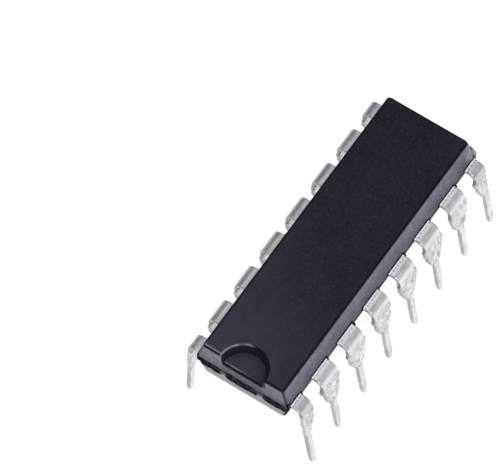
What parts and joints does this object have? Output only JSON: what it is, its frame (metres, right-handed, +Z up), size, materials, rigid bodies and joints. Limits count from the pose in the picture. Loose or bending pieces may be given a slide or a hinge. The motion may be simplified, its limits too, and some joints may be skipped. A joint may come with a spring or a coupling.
{
  "type": "dip integrated circuit chip",
  "caption": "Dual in-line integrated circuit: drafted black moulding with a half-round end notch and two splayed rows of tinned through-hole leads.",
  "frame": {"origin": "on the plane of the lead tips, directly below the middle of the body", "axes": "+X along the body, away from the end with the notch; +Y towards the row of leads 9 to 16; +Z up, out of the top face"},
  "size_m": [0.0188, 0.0086, 0.0075],
  "materials": {
    "moulding_compound": "fine matt moulded texture, bluish black, with slightly polished edges",
    "tinned_lead": "tin-plated copper alloy, satin on the bend and unevenly solder-dipped below it",
    "paddle_metal": "stamped copper alloy, bare at its cut ends",
    "die_attach": "silver-filled epoxy, dull grey",
    "silicon": "polished silicon with a faint metal pattern",
    "gold_wire": "drawn gold"
  },
  "bodies": {
    "root": {"package_body": "moulding_compound", "lead_01": "tinned_lead", "lead_02": "tinned_lead", "lead_03": "tinned_lead", "lead_04": "tinned_lead", "lead_05": "tinned_lead", "lead_06": "tinned_lead", "lead_07": "tinned_lead", "lead_08": "tinned_lead", "lead_09": "tinned_lead", "lead_10": "tinned_lead", "lead_11": "tinned_lead", "lead_12": "tinned_lead", "lead_13": "tinned_lead", "lead_14": "tinned_lead", "lead_15": "tinned_lead", "lead_16": "tinned_lead", "die_paddle": "paddle_metal", "die_attach": "die_attach", "silicon_die": "silicon", "bond_wire_01": "gold_wire", "bond_wire_02": "gold_wire", "bond_wire_03": "gold_wire", "bond_wire_04": "gold_wire", "bond_wire_05": "gold_wire", "bond_wire_06": "gold_wire", "bond_wire_07": "gold_wire", "bond_wire_08": "gold_wire", "bond_wire_09": "gold_wire", "bond_wire_10": "gold_wire", "bond_wire_11": "gold_wire", "bond_wire_12": "gold_wire", "bond_wire_13": "gold_wire", "bond_wire_14": "gold_wire", "bond_wire_15": "gold_wire", "bond_wire_16": "gold_wire"}
  },
  "joints": []
}
